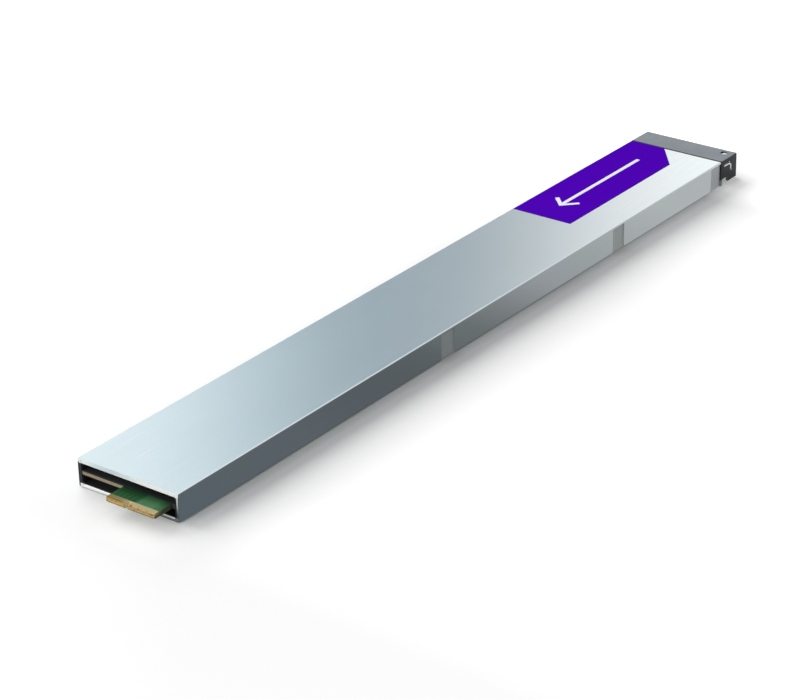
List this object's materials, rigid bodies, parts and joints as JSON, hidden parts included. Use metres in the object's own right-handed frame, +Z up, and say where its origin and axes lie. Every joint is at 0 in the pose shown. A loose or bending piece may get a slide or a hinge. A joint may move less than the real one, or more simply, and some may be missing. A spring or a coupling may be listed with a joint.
{
  "type": "ruler ssd module",
  "caption": "Long flat solid-state storage module in an aluminium case, with a card-edge tongue at one end and a sheet-metal latch bracket at the other.",
  "frame": {"origin": "centre of the bounding box at the underside of the case", "axes": "+Y from the card edge to the bracket, +Z up through the label side, +X towards the side nearer the card-edge tongue and the bracket's hole"},
  "size_m": [0.0384, 0.3188, 0.0095],
  "materials": {
    "cover_aluminium": "fine brushed, clear anodised",
    "tray_aluminium": "bead blasted",
    "spreader_aluminium": "milled",
    "bracket_steel": "satin dark grey coat",
    "insulating_film": "black polyester film",
    "label_film": "satin printed film",
    "board_laminate": "green solder mask, tan cut edges",
    "contact_gold": "gold plated",
    "package_mould": "black moulding compound",
    "thermal_pad": "soft silicone",
    "inductor_ferrite": "pressed iron powder",
    "capacitor_mould": "black moulding compound",
    "chip_ceramic": "fired ceramic",
    "pipe_acrylic": "clear moulded",
    "lamp_lens": "clear resin",
    "screw_steel": "zinc plated"
  },
  "bodies": {
    "root": {"base_tray": "tray_aluminium", "bracket_screws": "screw_steel", "case_screws": "screw_steel", "controller": "package_mould", "controller_pad": "thermal_pad", "coupling_capacitors": "chip_ceramic", "dram_1": "package_mould", "dram_2": "package_mould", "dram_pad": "thermal_pad", "edge_contacts_bottom": "contact_gold", "edge_contacts_top": "contact_gold", "end_bracket": "bracket_steel", "heat_spreader": "spreader_aluminium", "hold_up_capacitor_1": "capacitor_mould", "hold_up_capacitor_2": "capacitor_mould", "hold_up_capacitor_3": "capacitor_mould", "hold_up_capacitor_4": "capacitor_mould", "hold_up_capacitor_5": "capacitor_mould", "hold_up_capacitor_6": "capacitor_mould", "hold_up_capacitor_7": "capacitor_mould", "hold_up_capacitor_8": "capacitor_mould", "inductor_1": "inductor_ferrite", "inductor_2": "inductor_ferrite", "insulating_film": "insulating_film", "label": "label_film", "light_pipe": "pipe_acrylic", "main_board": "board_laminate", "nand_bottom_1": "package_mould", "nand_bottom_2": "package_mould", "nand_bottom_3": "package_mould", "nand_bottom_4": "package_mould", "nand_bottom_5": "package_mould", "nand_bottom_6": "package_mould", "nand_bottom_7": "package_mould", "nand_bottom_8": "package_mould", "nand_pad_bottom_1": "thermal_pad", "nand_pad_bottom_2": "thermal_pad", "nand_pad_top_1": "thermal_pad", "nand_pad_top_2": "thermal_pad", "nand_top_1": "package_mould", "nand_top_10": "package_mould", "nand_top_11": "package_mould", "nand_top_12": "package_mould", "nand_top_13": "package_mould", "nand_top_14": "package_mould", "nand_top_15": "package_mould", "nand_top_16": "package_mould", "nand_top_2": "package_mould", "nand_top_3": "package_mould", "nand_top_4": "package_mould", "nand_top_5": "package_mould", "nand_top_6": "package_mould", "nand_top_7": "package_mould", "nand_top_8": "package_mould", "nand_top_9": "package_mould", "power_chip": "package_mould", "status_lamp_1": "lamp_lens", "status_lamp_2": "lamp_lens", "top_cover": "cover_aluminium"}
  },
  "joints": []
}
